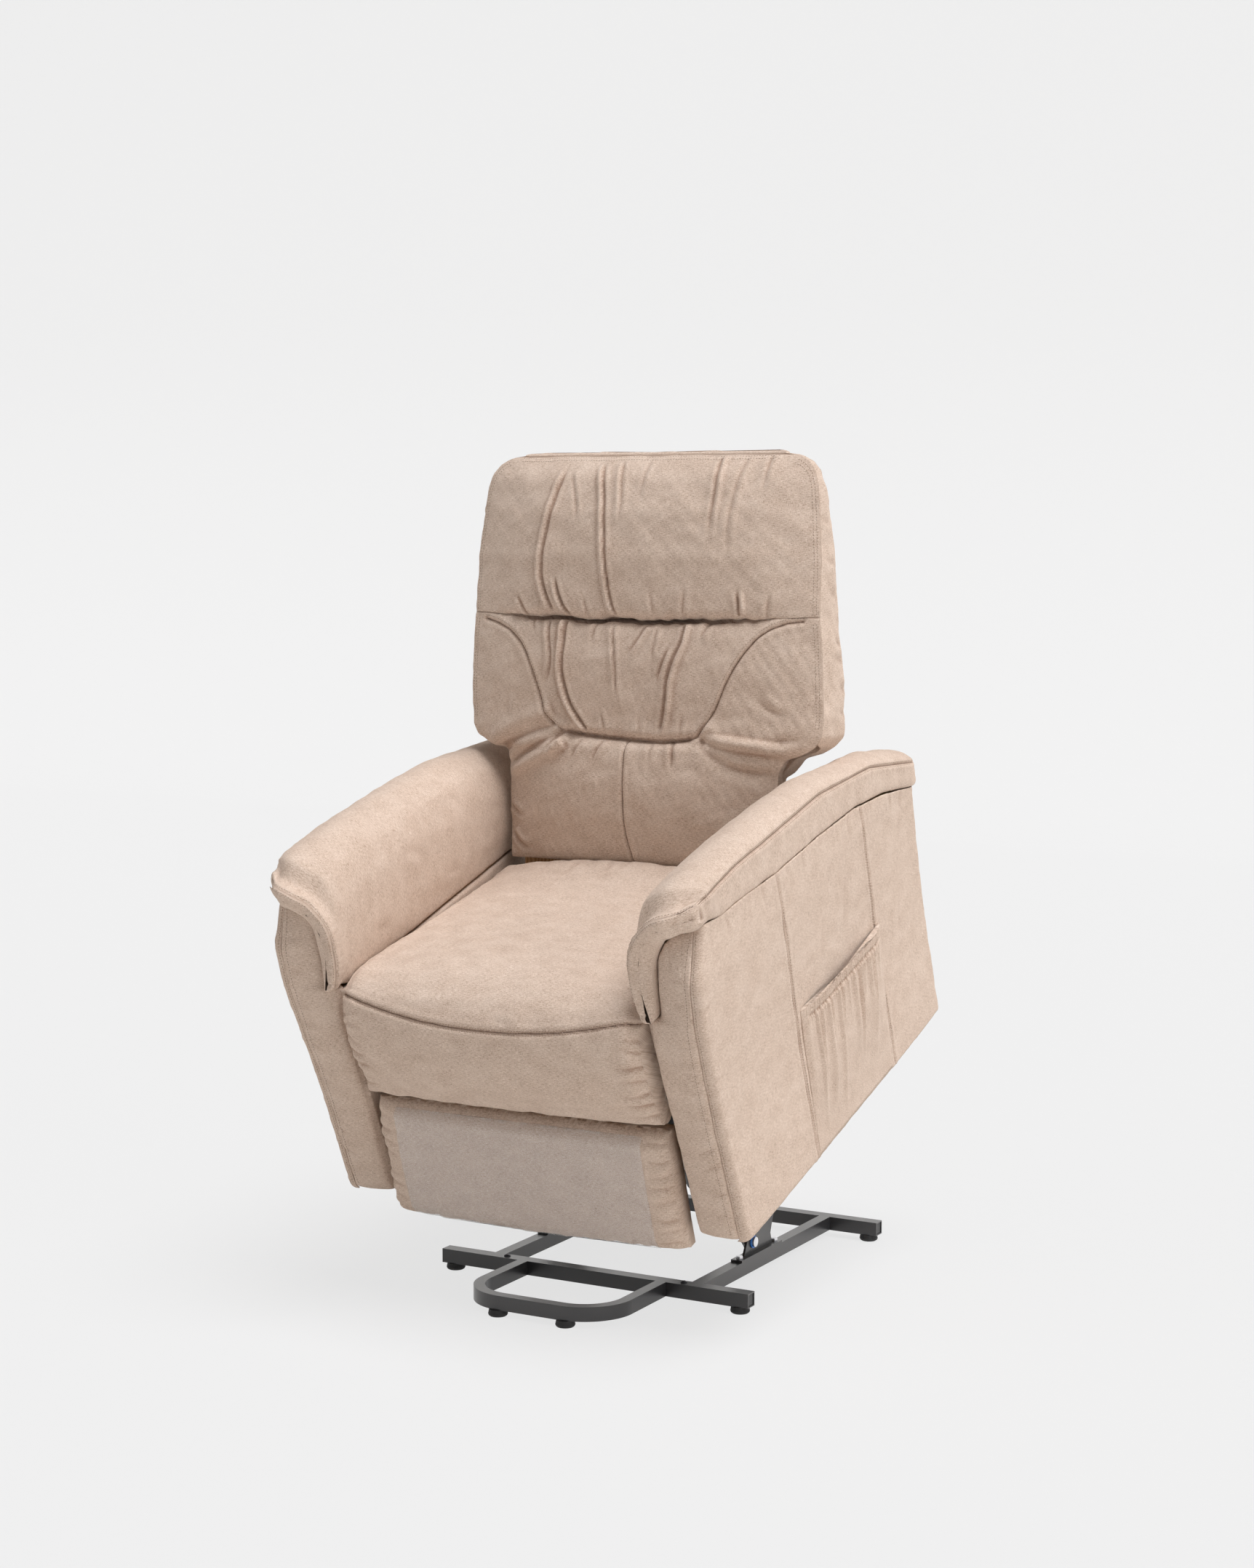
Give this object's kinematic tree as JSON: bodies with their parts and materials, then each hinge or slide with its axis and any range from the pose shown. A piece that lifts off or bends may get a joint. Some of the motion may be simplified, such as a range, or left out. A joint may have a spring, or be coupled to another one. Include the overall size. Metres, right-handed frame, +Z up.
{
  "type": "lift recliner chair",
  "caption": "Upholstered lift recliner chair on a steel tube base, with powered lift linkage, reclining back, fold-out footrest, padded arms and a gathered side pocket; shown fully lifted.",
  "frame": {"origin": "On the floor under the middle of the whole chair as pictured, fully lifted: the centre of the bounding box's bottom face.", "axes": "+Z up; the sitter faces -Y; +X is the sitter's left."},
  "size_m": [0.8223, 1.0425, 1.4585],
  "materials": {
    "black_steel": "black powder coat, fine texture",
    "actuator_tube": "dark anodised",
    "zinc": "zinc plated",
    "dark_bolts": "black oxide",
    "blue_nylon": "moulded nylon",
    "black_plastic": "moulded, fine grain",
    "socket_plastic": "moulded",
    "rubber": "moulded rubber",
    "timber": "plain softwood and plywood",
    "webbing": "woven elastic webbing",
    "upholstery": "warm taupe soft chenille",
    "clear_vinyl": "thin clear vinyl sheet"
  },
  "bodies": {
    "base": {"front_cross_tube": "black_steel", "rear_cross_tube": "black_steel", "left_rail": "black_steel", "right_rail": "black_steel", "front_loop": "black_steel", "tube_end_caps": "black_plastic", "rubber_feet": "rubber", "rail_bolts": "dark_bolts", "left_lift_bracket": "black_steel", "right_lift_bracket": "black_steel", "bracket_bolts": "zinc", "lift_pins": "zinc", "pivot_bushings": "blue_nylon", "lift_actuator_clevis": "black_steel"},
    "rear_lift_arm": {"left_rear_lift_link": "black_steel", "right_rear_lift_link": "black_steel", "lift_torque_tube": "black_steel", "chassis_link_pins": "zinc"},
    "front_lift_arm": {"front_lift_links": "black_steel"},
    "lift_actuator": {"lift_motor": "black_plastic", "lift_actuator_tube": "actuator_tube"},
    "lift_rod": {"lift_actuator_rod": "zinc"},
    "chassis": {"left_side_plate": "black_steel", "right_side_plate": "black_steel", "chassis_cross_tubes": "black_steel", "chassis_pins": "zinc", "seat_side_rails": "timber", "seat_cross_rails": "timber", "seat_webbing": "webbing", "seat_cushion": "upholstery", "left_arm_frame": "timber", "right_arm_frame": "timber", "left_arm_outer_panel": "upholstery", "right_arm_outer_panel": "upholstery", "arm_inner_panels": "upholstery", "arm_facings": "upholstery", "left_arm_pad": "upholstery", "right_arm_pad": "upholstery", "side_pocket": "upholstery", "control_box": "black_plastic", "control_sockets": "socket_plastic", "back_hinge_plates": "black_steel"},
    "back": {"back_brackets": "black_steel", "back_board": "timber", "outside_back": "upholstery", "headrest_cushion": "upholstery", "lumbar_cushion": "upholstery", "lower_back_cushion": "upholstery"},
    "footrest_main": {"footrest_drive": "black_steel", "footrest_main_links": "black_steel"},
    "footrest_swing": {"footrest_swing_links": "black_steel"},
    "footrest_control": {"footrest_control_links": "black_steel"},
    "footrest_leveling": {"footrest_leveling_links": "black_steel"},
    "footrest_panel": {"footrest_brackets": "black_steel", "footrest_board": "timber", "footrest_pad": "upholstery", "footrest_protector": "clear_vinyl"},
    "recline_actuator": {"recline_motor": "black_plastic", "recline_actuator_tube": "actuator_tube"},
    "recline_rod": {"recline_actuator_rod": "zinc"}
  },
  "joints": [
    {"name": "lift", "type": "hinge", "parent": "base", "child": "rear_lift_arm", "pos_m": [0, 0.247, 0.203], "axis": [1, 0, 0], "range_deg": [0, 41]},
    {"name": "chassis_tilt", "type": "hinge", "parent": "rear_lift_arm", "child": "chassis", "pos_m": [0, -0.01477, 0.38883], "axis": [1, 0, 0], "range_deg": [-59.5, 0.5]},
    {"name": "front_link_swing", "type": "hinge", "parent": "base", "child": "front_lift_arm", "pos_m": [0, 0.133, 0.06], "axis": [1, 0, 0], "range_deg": [-0.5, 42.05]},
    {"name": "lift_actuator_swing", "type": "hinge", "parent": "base", "child": "lift_actuator", "pos_m": [0, 0.426, 0.062], "axis": [1, 0, 0], "range_deg": [-0.5, 23.02]},
    {"name": "lift_rod_slide", "type": "slide", "parent": "lift_actuator", "child": "lift_rod", "axis": [0, -0.6394, 0.7689], "range_m": [-0.1408, 0.002]},
    {"name": "back_recline", "type": "hinge", "parent": "chassis", "child": "back", "pos_m": [0, 0.27769, 0.589], "axis": [-1, 0, 0], "range_deg": [0, 38]},
    {"name": "footrest", "type": "hinge", "parent": "chassis", "child": "footrest_main", "pos_m": [0, -0.219, 0.39608], "axis": [-1, 0, 0], "range_deg": [0, 111]},
    {"name": "swing_link", "type": "hinge", "parent": "footrest_main", "child": "footrest_swing", "pos_m": [0, -0.08999, 0.23676], "axis": [1, 0, 0], "range_deg": [-0.5, 106.53]},
    {"name": "control_link", "type": "hinge", "parent": "chassis", "child": "footrest_control", "pos_m": [0, -0.19879, 0.38371], "axis": [1, 0, 0], "range_deg": [-112.27, 0.5]},
    {"name": "leveling_link", "type": "hinge", "parent": "footrest_main", "child": "footrest_leveling", "pos_m": [0, -0.10175, 0.25494], "axis": [1, 0, 0], "range_deg": [-0.5, 106.44]},
    {"name": "footrest_board", "type": "hinge", "parent": "footrest_swing", "child": "footrest_panel", "pos_m": [0, -0.27773, 0.32442], "axis": [1, 0, 0], "range_deg": [-74.53, 0.5]},
    {"name": "recline_actuator_swing", "type": "hinge", "parent": "chassis", "child": "recline_actuator", "pos_m": [0, 0.34712, 0.5695], "axis": [1, 0, 0], "range_deg": [-0.5, 2.57]},
    {"name": "recline_rod_slide", "type": "slide", "parent": "recline_actuator", "child": "recline_rod", "axis": [0, -0.9448, -0.3276], "range_m": [-0.002, 0.0986]}
  ],
  "couplings": [
    {"joint": "chassis_tilt", "follows": "lift", "ratio": -1.439},
    {"joint": "front_link_swing", "follows": "lift", "ratio": 1.0133},
    {"joint": "lift_actuator_swing", "follows": "lift", "ratio": 0.54925},
    {"joint": "lift_rod_slide", "follows": "lift", "m_per_rad": -0.1939},
    {"joint": "swing_link", "follows": "footrest", "ratio": 0.95521},
    {"joint": "control_link", "follows": "footrest", "ratio": -1.0069},
    {"joint": "leveling_link", "follows": "footrest", "ratio": 0.95443},
    {"joint": "footrest_board", "follows": "footrest", "ratio": -0.66692},
    {"joint": "recline_actuator_swing", "follows": "footrest", "ratio": 0.018678},
    {"joint": "recline_rod_slide", "follows": "footrest", "m_per_rad": 0.049877}
  ]
}
